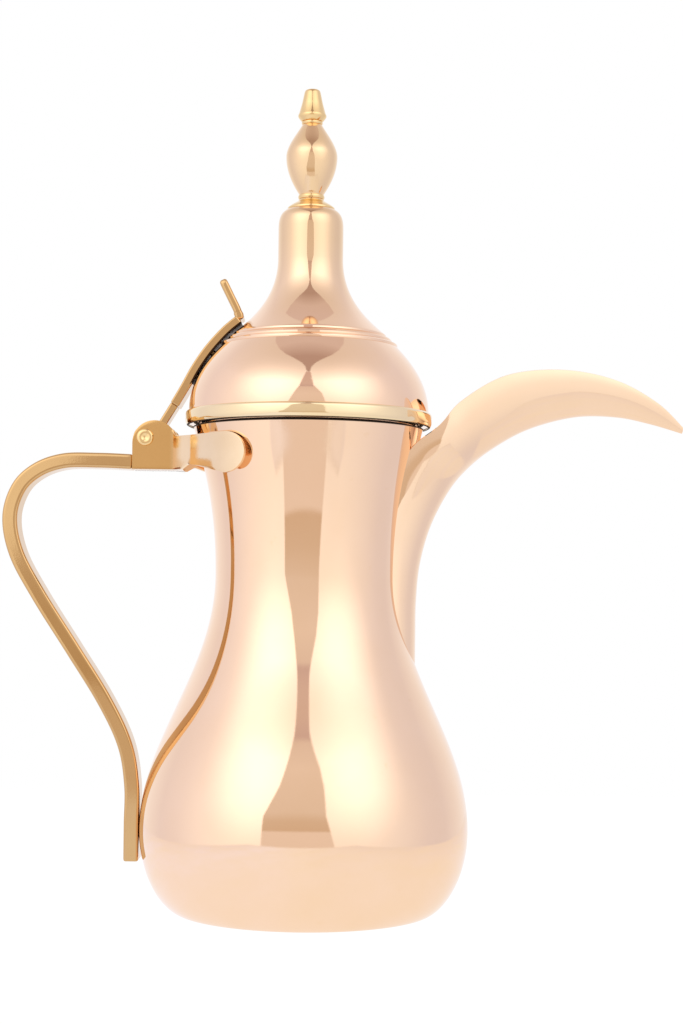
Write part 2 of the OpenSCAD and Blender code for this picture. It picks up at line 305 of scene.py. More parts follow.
def metal(name, colour, dark, rough, grain=(60, 60, 60), grain_depth=0.02, stain=0.25,
          turn=None, grime_and_shade=None):
    """Polished plated metal: clouded colour, faint hand-polishing marks and a few stains.

    turn is (axis, from, to, colour): the tone goes over to that colour along the axis.
    grime_and_shade is (axis, low, high): soot-dark grime and painted shade lie between those two
    places, for a seam's shadow.
    """
    material = bpy.data.materials.new(name)
    material.use_nodes = True
    tree = material.node_tree
    tree.nodes.clear()
    n = Nodes(tree)
    place = n.add("ShaderNodeTexCoord").outputs["Object"]
    axes = n.add("ShaderNodeSeparateXYZ")
    n.link(place, axes.inputs[0])
    cloud = n.noise(place, 55, 4)
    spots = n.noise(place, 420, 2, 0.6)
    stains = n.noise(place, 130, 5, 0.65)
    tone = colour
    if turn:
        axis, start, end, other = turn
        tone = n.blend(n.span(axes.outputs[axis], start, end, 0, 1), colour, other)
    base = n.blend(n.span(cloud, 0.3, 0.7, 0, 0.22), tone, dark)
    base = n.blend(n.span(stains, 0.66, 0.78, 0, stain), base, dark)
    marks = n.noise(n.stretch(place, grain), 30, 6, 0.6)
    shader = n.add("ShaderNodeBsdfPrincipled")
    shader.inputs["Metallic"].default_value = 1.0
    rough_cloud = n.span(cloud, 0.3, 0.7, rough * 0.8, rough * 1.3)
    rough_total = n.math("ADD", rough_cloud, n.span(spots, 0.62, 0.75, 0, 0.04))
    # Painted shade, with some grime: soot-dark colour and extra roughness between the two places
    # stand for the shadow in a seam.
    if grime_and_shade:
        axis, low, high = grime_and_shade
        soft = 0.0001
        soot_and_shade_mask = n.math("MULTIPLY", n.span(axes.outputs[axis], low - soft, low + soft, 0, 1),
                       n.span(axes.outputs[axis], high - soft, high + soft, 1, 0))
        base = n.blend(soot_and_shade_mask, base, (0.02, 0.012, 0.008))
        rough_total = n.math("ADD", rough_total, n.math("MULTIPLY", soot_and_shade_mask, 0.5))
    n.link(base, shader.inputs["Base Color"])
    n.link(rough_total, shader.inputs["Roughness"])
    bump = n.add("ShaderNodeBump")
    bump.inputs["Strength"].default_value = grain_depth
    bump.inputs["Distance"].default_value = 0.0002
    n.link(marks, bump.inputs["Height"])
    n.link(bump.outputs["Normal"], shader.inputs["Normal"])
    out = n.add("ShaderNodeOutputMaterial")
    n.link(shader.outputs["BSDF"], out.inputs["Surface"])
    return material


# Grime and painted shade lie in the seam between the mouth and the lid's band: its shadow is
# painted there as a soot-dark ring.
MOUTH_SEAM = ("Z", 0.1797, 0.1809)
ROSE = metal(POLISHED, (0.96, 0.70, 0.50), (0.90, 0.62, 0.38), 0.035, (40, 40, 400), 0.012,
             0.45, grime_and_shade=MOUTH_SEAM)
BEAK_ROSE = metal("rose_gold_beak", (0.96, 0.71, 0.50), (0.90, 0.62, 0.38), 0.05,
                  (40, 40, 400), 0.012)
BELL_ROSE = metal("rose_gold_bell", (0.97, 0.70, 0.50), (0.90, 0.62, 0.38), 0.035,
                  (40, 40, 400), 0.012, turn=("Z", 0.218, 0.250, (0.86, 0.62, 0.38)))
BULB_ROSE = metal("rose_gold_bulb", (0.90, 0.66, 0.40), (0.78, 0.50, 0.27), 0.045,
                  (60, 60, 300), 0.02, 0.4)
GOLD = metal(BRASS, (0.90, 0.66, 0.33), (0.72, 0.46, 0.17), 0.05, (300, 60, 60), 0.03)
BAND_GOLD = metal("brass_band", (0.94, 0.76, 0.48), (0.84, 0.60, 0.30), 0.05, (60, 60, 300),
                  0.02, grime_and_shade=MOUTH_SEAM)
BAR_GOLD = metal("brass_bar", (0.68, 0.44, 0.20), (0.52, 0.28, 0.11), 0.06, (60, 60, 60), 0.03,
                 0.4)
# Painted reflection: past x = -46.5 mm the bracket turns lighter and pinker, so its sloped wings
# look lit by the bright walls they face while the clevis stays darker.
SATIN_GOLD = metal(SATIN, (0.78, 0.48, 0.19), (0.62, 0.36, 0.12), 0.08, (200, 60, 60), 0.04,
                   turn=("X", -0.0515, -0.0465, (0.96, 0.75, 0.50)))
IRON = metal(STEEL, (0.60, 0.58, 0.54), (0.40, 0.37, 0.33), 0.25, (60, 60, 500), 0.2)
# Painted shade: near-black metal laid on the lid strap's face towards the bell, where shade falls
# between the strap and the bell.
STRAP_SHADE = metal("strap_painted_shade", (0.05, 0.025, 0.012), (0.02, 0.012, 0.008), 0.35, stain=0.6)


# ---- Turned pieces ----

BASE_R, BELLY_R, BELLY_Z, WAIST_R, WAIST_Z = 48.5, 61.4, 30, 34.2, 125
MOUTH_R, MOUTH_Z, SHEET, GAP = 43, 180.2, 1, 0.4
BASE_PLATE_R, BASE_PLATE_T = BASE_R - SHEET, 1.2

body_line = (
    bezier((BASE_R, 0), (BASE_R + 5.5, 2.6), (BELLY_R, 14), (BELLY_R, BELLY_Z), 36)
    + bezier((BELLY_R, BELLY_Z), (BELLY_R, BELLY_Z + 34), (WAIST_R, WAIST_Z - 36.5),
             (WAIST_R, WAIST_Z), 64)
    + bezier((WAIST_R, WAIST_Z), (WAIST_R, WAIST_Z + 23), (MOUTH_R - 5, MOUTH_Z - 18),
             (MOUTH_R, MOUTH_Z), 36)
    + [(MOUTH_R, MOUTH_Z)])
inner_line = [
    (r, min(max(z, BASE_PLATE_T), MOUTH_Z)) for r, z in beside(body_line, SHEET)]

body = turned(
    "pot_body",
    body_line + inner_line[::-1] + [(BASE_PLATE_R, BASE_PLATE_T), (BASE_PLATE_R, 0)], ROSE)

# Strainer holes through the wall behind the beak
STRAINER_R, STRAINER_ROWS, STRAINER_LOW_Z, STRAINER_PITCH = 1.9, 7, 104, 9
STRAINER_ANGLES = (-12, 0, 12)
STRAINER_FROM, STRAINER_TO = WAIST_R - 8, WAIST_R + 12
hole_outline = [
    (0, STRAINER_FROM), (STRAINER_R, STRAINER_FROM), (STRAINER_R, STRAINER_TO), (0, STRAINER_TO)]
holes = bmesh.new()
for row in range(STRAINER_ROWS):
    for angle in STRAINER_ANGLES:
        turn_into(
            holes, hole_outline, HOLE_SEGMENTS,
            Matrix.Translation((0, 0, (STRAINER_LOW_Z + STRAINER_PITCH * row) * MM))
            @ Matrix.Rotation(math.radians(angle), 4, "Z")
            @ Matrix.Rotation(math.radians(90), 4, "Y"))
cut(body, finish_mesh("strainer_tool", holes, ROSE), "DIFFERENCE")
body.data.set_sharp_from_angle(angle=CREASE)
settle(body, "pot", POLISHED, "body_shell")

BAND_R, BAND_H, NECK_R, SHOULDER_Z = 46.2, 5.4, 12.2, 262
BAND_Z = MOUTH_Z + GAP
BELL_FOOT_R = BAND_R - 1.3
BELL_INNER_Z, NECK_Z = 187, 243
ROD_R = 1.7

bell_line = (
    [(BELL_FOOT_R, BAND_Z + GAP)]
    + bezier((BELL_FOOT_R, 186), (BELL_FOOT_R, 195.5), (40, 203.5), (32.9, 210.6), 48)
    + [(32.9, 210.6), (33.0, 211.0), (32.9, 211.5), (32.5, 211.8), (31.2, 212.1),
       (30.8, 212.4), (30.8, 213.1), (30.4, 213.6), (29.3, 214.0), (28.8, 214.4),
       (28.7, 215.0)]
    + bezier((28.3, 215.4), (21.5, 221), (NECK_R + 0.4, 229), (NECK_R, NECK_Z), 56)
    + [(NECK_R, NECK_Z + i) for i in range(0, 12, 3)]
    + bezier((NECK_R, SHOULDER_Z - 7), (NECK_R, SHOULDER_Z - 2),
             (NECK_R - 1.5, SHOULDER_Z - 1), (NECK_R - 3, SHOULDER_Z), 14)
    + [(NECK_R - 3, SHOULDER_Z)])
bell_inner = [
    p for p in beside(bell_line, SHEET)[::-1]
    if BELL_INNER_Z < p[1] < SHOULDER_Z - SHEET - 0.3]
dome = turned(
    "lid_bell",
    [(ROD_R, SHOULDER_Z), (ROD_R, SHOULDER_Z - SHEET), (NECK_R - 3.4, SHOULDER_Z - SHEET)]
    + bell_inner + [(BELL_FOOT_R - SHEET, BELL_INNER_Z), (BELL_FOOT_R - SHEET, BAND_Z + GAP)]
    + bell_line, BELL_ROSE)
settle(dome, "lid", POLISHED, "lid_dome")

band = turned("lid_band", [
    (BELL_FOOT_R, BAND_Z), (BAND_R - 1.2, BAND_Z), (BAND_R - 0.7, BAND_Z + 0.25),
    (BAND_R - 0.3, BAND_Z + 0.8), (BAND_R - 0.05, BAND_Z + 1.5), (BAND_R, BAND_Z + 2.1),
    (BAND_R, BAND_Z + BAND_H - 1.3), (BAND_R - 0.08, BAND_Z + BAND_H - 0.8),
    (BAND_R - 0.4, BAND_Z + BAND_H - 0.3), (BAND_R - 0.8, BAND_Z + BAND_H - 0.05),
    (BELL_FOOT_R, BAND_Z + BAND_H)], BAND_GOLD)
settle(band, "lid", BRASS, "lid_rim_band")

skirt = turned("lid_inner_skirt", [
    (39, MOUTH_Z - 2.8), (39.2, MOUTH_Z - 3), (39.8, MOUTH_Z - 3), (40, MOUTH_Z - 2.8),
    (40, BAND_Z + GAP), (BELL_FOOT_R - SHEET, BAND_Z + GAP),
    (BELL_FOOT_R - SHEET, BAND_Z + GAP + 1), (39, BAND_Z + GAP + 1)], ROSE)
settle(skirt, "lid", POLISHED, "lid_skirt")

RING_Z, BULB_Z, NECK_RING_Z, TIP_Z, TIP_TOP_Z, SCREW_TOP_Z = 266, 267.8, 294, 295.4, 307.2, 303
BULB_R, BULB_WAIST = 9.6, 282

collar = turned("finial_foot", (
    [(ROD_R, SHOULDER_Z), (8.7, SHOULDER_Z), (8.9, SHOULDER_Z + 0.2), (8.9, SHOULDER_Z + 0.5)]
    + bezier((8.8, SHOULDER_Z + 0.8), (7, SHOULDER_Z + 2.6), (5, SHOULDER_Z + 2.8),
             (4.7, RING_Z), 18)
    + [(4.7, RING_Z), (ROD_R, RING_Z)]), GOLD, FINIAL_SEGMENTS)
settle(collar, "lid", BRASS, "finial_collar")

lower_ring = turned("finial_ring_low", [
    (ROD_R, RING_Z), (4.4, RING_Z), (4.75, RING_Z + 0.2), (4.9, RING_Z + 0.6),
    (4.95, (RING_Z + BULB_Z) / 2), (4.9, BULB_Z - 0.6), (4.75, BULB_Z - 0.2),
    (4.5, BULB_Z), (ROD_R, BULB_Z)], GOLD, FINIAL_SEGMENTS)
settle(lower_ring, "lid", BRASS, "finial_lower_ring")

bulb = turned("finial_bulb_turned", (
    [(ROD_R, BULB_Z), (4.5, BULB_Z)]
    + bezier((4.6, BULB_Z + 0.2), (6.6, 271), (BULB_R, 276), (BULB_R, BULB_WAIST), 30)
    + bezier((BULB_R, BULB_WAIST), (BULB_R, 286), (5.4, 291), (3.7, NECK_RING_Z), 30)
    + [(3.7, NECK_RING_Z), (ROD_R, NECK_RING_Z)]), BULB_ROSE, BULB_SEGMENTS)
settle(bulb, "lid", POLISHED, "finial_bulb")

upper_ring = turned("finial_ring_high", [
    (ROD_R, NECK_RING_Z), (3.5, NECK_RING_Z), (3.8, NECK_RING_Z + 0.2),
    (3.95, NECK_RING_Z + 0.6), (3.9, TIP_Z - 0.3), (3.6, TIP_Z), (ROD_R, TIP_Z)],
    GOLD, FINIAL_SEGMENTS)
settle(upper_ring, "lid", BRASS, "finial_upper_ring")

tip = turned("finial_tip_turned", [
    (ROD_R, TIP_Z), (4, TIP_Z), (4.3, TIP_Z + 0.3), (5.1, TIP_Z + 1.3), (5.3, TIP_Z + 1.7),
    (5.3, TIP_Z + 2.2), (5.05, TIP_Z + 2.7), (3.95, TIP_Z + 6.5), (3.05, TIP_TOP_Z - 1.1),
    (2.85, TIP_TOP_Z - 0.5), (2.6, TIP_TOP_Z - 0.2), (2.2, TIP_TOP_Z), (0, TIP_TOP_Z),
    (0, SCREW_TOP_Z), (ROD_R, SCREW_TOP_Z)], GOLD, FINIAL_SEGMENTS)
settle(tip, "lid", BRASS, "finial_tip")


# ---- Beak ----

# Each section: keel x, keel z, lip x, lip z, half width. The first ones end inside the body.
beak_sections = [
    (41, 88.5, 33, 93, 7), (41, 92, 31, 100, 11.5), (41, 103, 28, 114, 13),
    (41.1, 116, 27, 130, 13), (42.4, 130, 28, 144, 13), (46.2, 144, 31, 158, 13.8),
    (52.4, 156.5, 38, 172, 15.6), (59, 165, 48.4, 180.6, 16.6), (68.5, 173, 56.5, 189.8, 15.6),
    (82.3, 180.8, 73, 199.5, 13.6), (99.5, 185.6, 94, 202.1, 10.8),
    (115.2, 185.8, 114, 198.8, 8), (128, 183.4, 130, 190.9, 4.8), (140, 180, 140.4, 182, 1.3)]
BEAK_WRAP = math.radians(96)
BEAK_SIDES = 30
BEAK_CREASE = math.radians(50)
BEAK_STEPS = 14
LIP_CROWN = 0.22


def beak_arc(keel, lip, half, sides):
    """Points from one lip over the keel to the other."""
    out = []
    for i in range(-sides, sides + 1):
        angle = BEAK_WRAP * i / sides
        rise = (1 - math.cos(angle)) / (1 - math.cos(BEAK_WRAP))
        out.append((
            keel[0] + (lip[0] - keel[0]) * rise,
            half * math.sin(angle),
            keel[1] + (lip[1] - keel[1]) * rise))
    return out


def body_solid(name):
    bm = bmesh.new()
    turn_into(bm, [(0, 0)] + body_line + [(0, MOUTH_Z)])
    return finish_mesh(name, bm, BEAK_ROSE)


def build_beak():
    bm = bmesh.new()
    rings = []
    for kx, kz, lx, lz, half in spline(beak_sections, BEAK_STEPS):
        keel, lip = Vector((kx, kz)), Vector((lx, lz))
        up = (lip - keel).normalized()
        floor_t = min(SHEET, (lip - keel).length * 0.4)
        outer = beak_arc(keel, lip, half, BEAK_SIDES)
        inner = beak_arc(keel + up * floor_t, lip, half - SHEET, BEAK_SIDES)[::-1]
        crown = up * LIP_CROWN
        ends = []
        for a, b in ((outer[-1], inner[0]), (inner[-1], outer[0])):
            mid = [(p + q) / 2 for p, q in zip(a, b)]
            ends.append((mid[0] + crown.x, mid[1], mid[2] + crown.y))
        ring = outer + [ends[0]] + inner + [ends[1]]
        rings.append([bm.verts.new([c * MM for c in p]) for p in ring])
    n = len(rings[0])
    for low, high in zip(rings, rings[1:]):
        for k in range(n):
            m = (k + 1) % n
            bm.faces.new((low[k], low[m], high[m], high[k]))
    # The end rings are closed by quads between the outside and the inside, and by a triangle
    # at each lip.
    half_ring = 2 * BEAK_SIDES + 1
    for ring, flip in ((rings[0], True), (rings[-1], False)):
        for i in range(half_ring - 1):
            j = n - 2 - i
            face = [ring[i], ring[i + 1], ring[j - 1], ring[j]]
            bm.faces.new(face[::-1] if flip else face)
        for tri in ((ring[0], ring[n - 2], ring[n - 1]),
                    (ring[half_ring - 1], ring[half_ring], ring[half_ring + 1])):
            bm.faces.new(tri)
    obj = finish_mesh("pot_beak", bm, BEAK_ROSE, BEAK_CREASE)
    cut(obj, body_solid("beak_tool"), "DIFFERENCE")
    obj.data.set_sharp_from_angle(angle=BEAK_CREASE)
    return obj


settle(build_beak(), "pot", POLISHED, "spout")


# ---- Handle ----

BAR_W, BAR_T, CHEEK_GAP, PLATE = 12, 5.6, 10.4, 1.1
handle_outer = spline([
    (-65.3, 169.5), (-78, 169.9), (-91.4, 169.5), (-102.2, 165.6), (-110, 158),
    (-113.6, 145.8), (-110.8, 131.2), (-102, 115), (-89.2, 95.2), (-77.2, 76.3),
    (-69.6, 60.5), (-67, 46), (-67, 32), (-67, 17.8)], 14)
bm = bmesh.new()
bar_into(bm, beside(handle_outer, BAR_T / 2), BAR_W, BAR_T, radius=1.1)
TONGUE_Z, TONGUE_T, TONGUE_PLAY = 167.2, 4.3, 0.2
bar_into(bm, [(-66.5, TONGUE_Z), (-60, TONGUE_Z), (-53, TONGUE_Z)],
         CHEEK_GAP - 2 * TONGUE_PLAY, TONGUE_T, radius=0.4, end_round=0.3)
handle = finish_mesh("pot_handle", bm, BAR_GOLD)
settle(handle, "pot", BRASS, "handle")


# ---- Hinge bracket ----

CHEEK_Y = CHEEK_GAP / 2 + PLATE
LOBE_R, LOBE_AT = 8.25, (-57.1, 173.9)
BRACKET_BACK_X, THROAT_X = -65.35, -50.2
BRACKET_Z, WING_TOP_Z, WING_R = 164, 176.3, 43.1
WING_END_AT, WING_END_R = (-29.6, 168.9), 7.4
WING_CREASE = (-43.4, 13.2)
FLOOR_X, FLOOR_HALF = -46.8, 9.4
WING_LOW_AT = (-44.2, 165.8)
PLATE_EDGE = 0.22
wing_touch = (math.atan2(WING_CREASE[1], -WING_CREASE[0])
              + math.acos(WING_R / math.hypot(*WING_CREASE)))
touch_x, touch_y = -WING_R * math.cos(wing_touch), WING_R * math.sin(wing_touch)


def wing_plan(x):
    """Distance of the bracket's outer face from the pot's middle plane."""
    if x <= THROAT_X:
        return CHEEK_Y
    if x <= WING_CREASE[0]:
        share = (x - THROAT_X) / (WING_CREASE[0] - THROAT_X)
        return CHEEK_Y + (WING_CREASE[1] - CHEEK_Y) * share
    if x <= touch_x:
        share = (x - WING_CREASE[0]) / (touch_x - WING_CREASE[0])
        return WING_CREASE[1] + (touch_y - WING_CREASE[1]) * share
    return math.sqrt(max(WING_R ** 2 - x * x, 0))


def wing_limits(x):
    """Lowest and highest point of the bracket's plate at x."""
    high = WING_TOP_Z
    low = BRACKET_Z
    lobe = LOBE_R ** 2 - (x - LOBE_AT[0]) ** 2
    if x < LOBE_AT[0]:
        high = LOBE_AT[1] + math.sqrt(max(lobe, 0))
    elif lobe > 0:
        high = max(high, LOBE_AT[1] + math.sqrt(lobe))
    if x > FLOOR_X:
        share = min((x - FLOOR_X) / (WING_LOW_AT[0] - FLOOR_X), 1)
        low = BRACKET_Z + (WING_LOW_AT[1] - BRACKET_Z) * share
    if x > WING_LOW_AT[0]:
        share = min((x - WING_LOW_AT[0]) / (WING_END_AT[0] - WING_LOW_AT[0]), 1)
        low = WING_LOW_AT[1] + (WING_END_AT[1] - WING_END_R - WING_LOW_AT[1]) * share
    if x > WING_END_AT[0]:
        end = math.sqrt(max(WING_END_R ** 2 - (x - WING_END_AT[0]) ** 2, 0))
        low, high = WING_END_AT[1] - end, WING_END_AT[1] + end
    return low, high


def build_bracket():
    xs = [BRACKET_BACK_X + LOBE_R * (1 - math.cos(math.pi / 2 * i / 14)) for i in range(14)]
    xs += [LOBE_AT[0] + (THROAT_X - LOBE_AT[0]) * i / 10 for i in range(10)]
    xs += [THROAT_X + (FLOOR_X - THROAT_X) * i / 4 for i in range(4)]
    xs += [FLOOR_X + (WING_CREASE[0] - FLOOR_X) * i / 4 for i in range(4)]
    xs += [WING_CREASE[0] + (WING_END_AT[0] - WING_CREASE[0]) * i / 22 for i in range(22)]
    xs += [WING_END_AT[0] + WING_END_R * math.sin(math.pi / 2 * i / 16) for i in range(17)]
    plan = [(x, wing_plan(x)) for x in xs]
    inner = beside(plan, -PLATE)
    tall = 12
    bm = bmesh.new()
    for side in (1, -1):
        sheets = []
        for line in (plan, inner):
            sheet = []
            for (x, _), (px, py) in zip(plan, line):
                low, high = wing_limits(x)
                sheet.append([
                    bm.verts.new((px * MM, side * py * MM,
                                  (low + (high - low) * j / tall) * MM))
                    for j in range(tall + 1)])
            sheets.append(sheet)
        outer_sheet, inner_sheet = sheets
        last = len(plan) - 1
        for sheet in sheets:
            for i in range(last):
                for j in range(tall):
                    bm.faces.new((sheet[i][j], sheet[i + 1][j],
                                  sheet[i + 1][j + 1], sheet[i][j + 1]))
        for i in range(last):
            for j in (0, tall):
                bm.faces.new((outer_sheet[i][j], outer_sheet[i + 1][j],
                              inner_sheet[i + 1][j], inner_sheet[i][j]))
        for j in range(tall):
            for i in (0, last):
                bm.faces.new((outer_sheet[i][j], outer_sheet[i][j + 1],
                              inner_sheet[i][j + 1], inner_sheet[i][j]))
    # Floor of the channel, widening towards the pot
    floor_half = CHEEK_Y - PLATE * 0.5
    corners = [
        (BRACKET_BACK_X, -floor_half), (THROAT_X, -floor_half), (FLOOR_X, -FLOOR_HALF),
        (FLOOR_X, FLOOR_HALF), (THROAT_X, floor_half), (BRACKET_BACK_X, floor_half)]
    low = [bm.verts.new((x * MM, y * MM, BRACKET_Z * MM)) for x, y in corners]
    high = [bm.verts.new((x * MM, y * MM, (BRACKET_Z + PLATE) * MM)) for x, y in corners]
    bm.faces.new(low[::-1])
    bm.faces.new(high)
    for i in range(len(corners)):
        j = (i + 1) % len(corners)
        bm.faces.new((low[i], low[j], high[j], high[i]))
    bmesh.ops.remove_doubles(bm, verts=bm.verts, dist=1e-6)
    obj = finish_mesh("pot_hinge_bracket", bm, SATIN_GOLD)
    bevel = obj.modifiers.new("edge", "BEVEL")
    bevel.width = PLATE_EDGE * MM
    bevel.segments = 3
    bevel.limit_method = "ANGLE"
    bevel.angle_limit = math.radians(50)
    apply_modifiers(obj)
    obj.data.set_sharp_from_angle(angle=math.radians(35))
    return obj


settle(build_bracket(), "pot", SATIN, "hinge_bracket")

PIN_X, PIN_Z, PIN_R = -60.6, 175.8, 1.6
HEAD_R, HEAD_H = 3.2, 1.1
PIN_PLACE = (Matrix.Translation((PIN_X * MM, 0, PIN_Z * MM))
             @ Matrix.Rotation(math.radians(90), 4, "X"))
half_pin = [
    (0, CHEEK_Y + 0.62), (0.35, CHEEK_Y + 0.6), (0.8, CHEEK_Y + 0.78), (1.3, CHEEK_Y + 1.02),
    (1.6, CHEEK_Y + HEAD_H), (2.3, CHEEK_Y + HEAD_H), (2.8, CHEEK_Y + 0.95),
    (3.1, CHEEK_Y + 0.65), (HEAD_R, CHEEK_Y + 0.3), (HEAD_R, CHEEK_Y), (PIN_R, CHEEK_Y)]
pin_outline = half_pin + [(r, -z) for r, z in half_pin[::-1]]
bm = bmesh.new()
turn_into(bm, pin_outline, PIN_SEGMENTS, PIN_PLACE)
settle(finish_mesh("pot_hinge_pin", bm, GOLD, crease=math.radians(60)),
       "pot", BRASS, "hinge_pin")


# ---- Lid arm ----

# The strap reaches further in from its middle line than out, so that it nearly meets the bell.
ARM_T, ARM_INNER = 3, 1.9
arm_foot = spline([(-57.9, 175.2), (-54.4, 181.1), (-50.1, 188.2)], 10)
arm_strap = spline([
    (-50.1, 188.2), (-46.4, 194.6), (-42.4, 202), (-37.6, 209.1), (-31.6, 215.9),
    (-26.3, 220.4)], 12)
thumb_edge = spline([(-25.2, 222.4), (-25.7, 224.4), (-28.2, 229.4), (-31.3, 235.6)], 10)
THUMB_T = 3
strap_t = ARM_T / 2 + ARM_INNER
bm = bmesh.new()
FOOT_W, EYE_R, EYE_HOLE_R, EYE_EDGE = 9.4, 4.6, 1.65, 0.3
bar_into(bm, arm_foot, FOOT_W, ARM_T, radius=0.6, end_round=0.3)
bar_into(bm, beside(arm_strap, ARM_T / 2 - strap_t / 2), BAR_W, strap_t,
         radius=0.5, end_round=0.6)
bar_into(bm, beside(thumb_edge, THUMB_T / 2), BAR_W, THUMB_T, radius=1.0, end_round=1.2)
bar_into(bm, [(-27.1, 223.4), (-26.3, 221.8), (-26.0, 220.2)], BAR_W, ARM_T + 0.4,
         radius=1.0, end_round=1.0)
EYE_HALF = FOOT_W / 2
turn_into(bm, [
    (EYE_HOLE_R, -EYE_HALF), (EYE_R - EYE_EDGE, -EYE_HALF), (EYE_R, -EYE_HALF + EYE_EDGE),
    (EYE_R, EYE_HALF - EYE_EDGE), (EYE_R - EYE_EDGE, EYE_HALF), (EYE_HOLE_R, EYE_HALF)],
    PIN_SEGMENTS, PIN_PLACE)
arm = finish_mesh("lid_arm_strap", bm, BAR_GOLD)
arm.data.materials.append(STRAP_SHADE)


# Painted shade covers the strap above this height and behind this x, in a layer this deep.
STRAP_SHADE_FROM_Z, STRAP_SHADE_TO_X, STRAP_SHADE_DEPTH = 196, -25, 0.6


def paint_shade_on_bell_side():
    """Gives the strap's face towards the bell, and the edge beside it, their painted dark shade.
    """
    for face in arm.data.polygons:
        x, _, z = (c / MM for c in face.center)
        if z < STRAP_SHADE_FROM_Z or x > STRAP_SHADE_TO_X:
            continue
        near = min(arm_strap, key=lambda p: math.hypot(p[0] - x, p[1] - z))
        i = min(max(arm_strap.index(near), 1), len(arm_strap) - 2)
        a, b = arm_strap[i - 1], arm_strap[i + 1]
        inward = ((b[1] - a[1]) * (x - near[0]) - (b[0] - a[0]) * (z - near[1])) / math.hypot(
            b[0] - a[0], b[1] - a[1])
        if inward > ARM_INNER - STRAP_SHADE_DEPTH:
            face.material_index = 1


paint_shade_on_bell_side()
settle(arm, "lid", BRASS, "lid_arm")

# Rivets: sunk heads outside, round heads inside the bell. Each is given by its step along the
# strap's middle line, and how far in from there the bell is.
RIVET_R, RIVET_HEAD_R = 1.2, 2.3
bm = bmesh.new()
for step, bell in ((21, 2.12), (36, 2.41)):
    (x, z), (ax, az), (bx, bz) = arm_strap[step], arm_strap[step - 1], arm_strap[step + 1]
    inside = bell + SHEET + 0.2
    turn_into(bm, [
        (0, -ARM_T / 2), (RIVET_HEAD_R, -ARM_T / 2), (RIVET_R, -0.4), (RIVET_R, inside),
        (RIVET_HEAD_R, inside), (2.05, inside + 0.5), (1.4, inside + 0.85), (0, inside + 0.9)],
        RIVET_SEGMENTS,
        Matrix.Translation((x * MM, 0, z * MM))
        @ Matrix.Rotation(math.pi - math.atan2(bz - az, bx - ax), 4, "Y"))
settle(finish_mesh("lid_arm_rivets", bm, BAR_GOLD), "lid", BRASS, "arm_rivets")


# ---- CAD nodes that keep their own shape ----

for node, material in (("base_plate", ROSE), ("finial_screw", IRON), ("finial_nut", IRON),
                       ("finial_washer", IRON)):
    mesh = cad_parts[node].data
    mesh.materials.clear()
    mesh.materials.append(material)


# ---- Studio ----

def glow(name, build):
    """A material made of one emission shader whose colour build() returns."""
    material = bpy.data.materials.new(name)
    material.use_nodes = True
    tree = material.node_tree
    tree.nodes.clear()
    n = Nodes(tree)
    emission = n.add("ShaderNodeEmission")
    out = n.add("ShaderNodeOutputMaterial")
    n.link(emission.outputs["Emission"], out.inputs["Surface"])
    build(n, emission)
    return material


def card(name, corners, material):
    """A flat staged card, seen only in mirror reflections unless its caller changes that."""
    mesh = bpy.data.meshes.new(name)
    mesh.from_pydata(corners, [], [tuple(range(len(corners)))])
    mesh.materials.append(material)
    obj = bpy.data.objects.new(name, mesh)
    bpy.context.scene.collection.objects.link(obj)
    obj.visible_camera = False
    obj.visible_diffuse = False
    obj.visible_shadow = False
    return obj


def ramp(n, value, stops):
    """Turns a value from 0 to 1 into a colour; stops are (position, colour)."""
    node = n.add("ShaderNodeValToRGB")
    elements = node.color_ramp.elements
    while len(elements) < len(stops):
        elements.new(0.5)
    for element, (position, colour) in zip(elements, stops):
        element.position = position
        element.color = (*colour, 1)
    n.link(value, node.inputs["Fac"])
    return node.outputs["Color"]


# The light tent: its front has a slot that narrows upwards, and its floor ends below the slot.
TENT_FRONT, TENT_SIDE, TENT_BACK = -0.39, 0.27, 0.40
SLOT_TOP = 0.63


def slot_colour(n, emission):
    height = n.add("ShaderNodeSeparateXYZ")
    n.link(n.add("ShaderNodeTexCoord").outputs["Object"], height.inputs[0])
    share = n.span(height.outputs["Z"], 0, SLOT_TOP, 0, 1)
    n.link(ramp(n, share, [
        (0.000, (0.85, 0.76, 0.72)), (0.098, (0.86, 0.77, 0.73)), (0.104, (0.69, 0.56, 0.45)),
        (0.165, (0.71, 0.59, 0.49)), (0.220, (0.79, 0.70, 0.64)), (0.470, (0.84, 0.75, 0.70)),
        (0.600, (0.78, 0.68, 0.64)), (0.606, (0.63, 0.50, 0.50)), (0.670, (0.70, 0.57, 0.55)),
        (1.000, (0.67, 0.52, 0.50))]), emission.inputs["Color"])


card("studio_slot", [
    (-0.188, TENT_FRONT, 0), (0.145, TENT_FRONT, 0), (0.107, TENT_FRONT, 0.125),
    (0.105, TENT_FRONT, 0.239), (0.088, TENT_FRONT, 0.308), (0.036, TENT_FRONT, 0.397),
    (0.018, TENT_FRONT, SLOT_TOP), (-0.018, TENT_FRONT, SLOT_TOP),
    (-0.055, TENT_FRONT, 0.397), (-0.088, TENT_FRONT, 0.308), (-0.114, TENT_FRONT, 0.239),
    (-0.183, TENT_FRONT, 0.125)], glow("studio_slot", slot_colour))


def opening_colour(n, emission):
    parts = n.add("ShaderNodeSeparateXYZ")
    n.link(n.add("ShaderNodeTexCoord").outputs["Object"], parts.inputs[0])
    back = n.span(parts.outputs["Y"], -0.16, -0.02, 0, 1)
    n.link(n.blend(back, (0.50, 0.38, 0.36), (0.70, 0.60, 0.60)), emission.inputs["Color"])


# The opening in the tent's top: a dark leaf that joins the slot at its front
OPENING = [(0.012, -0.385), (0.022, -0.30), (0.045, -0.24), (0.085, -0.18), (0.125, -0.12),
           (0.150, -0.05), (0.160, 0.03), (0.150, 0.11)]
card("studio_opening",
     [(x, y, SLOT_TOP) for x, y in OPENING] + [(-x, y, SLOT_TOP) for x, y in OPENING[::-1]],
     glow("studio_opening", opening_colour))


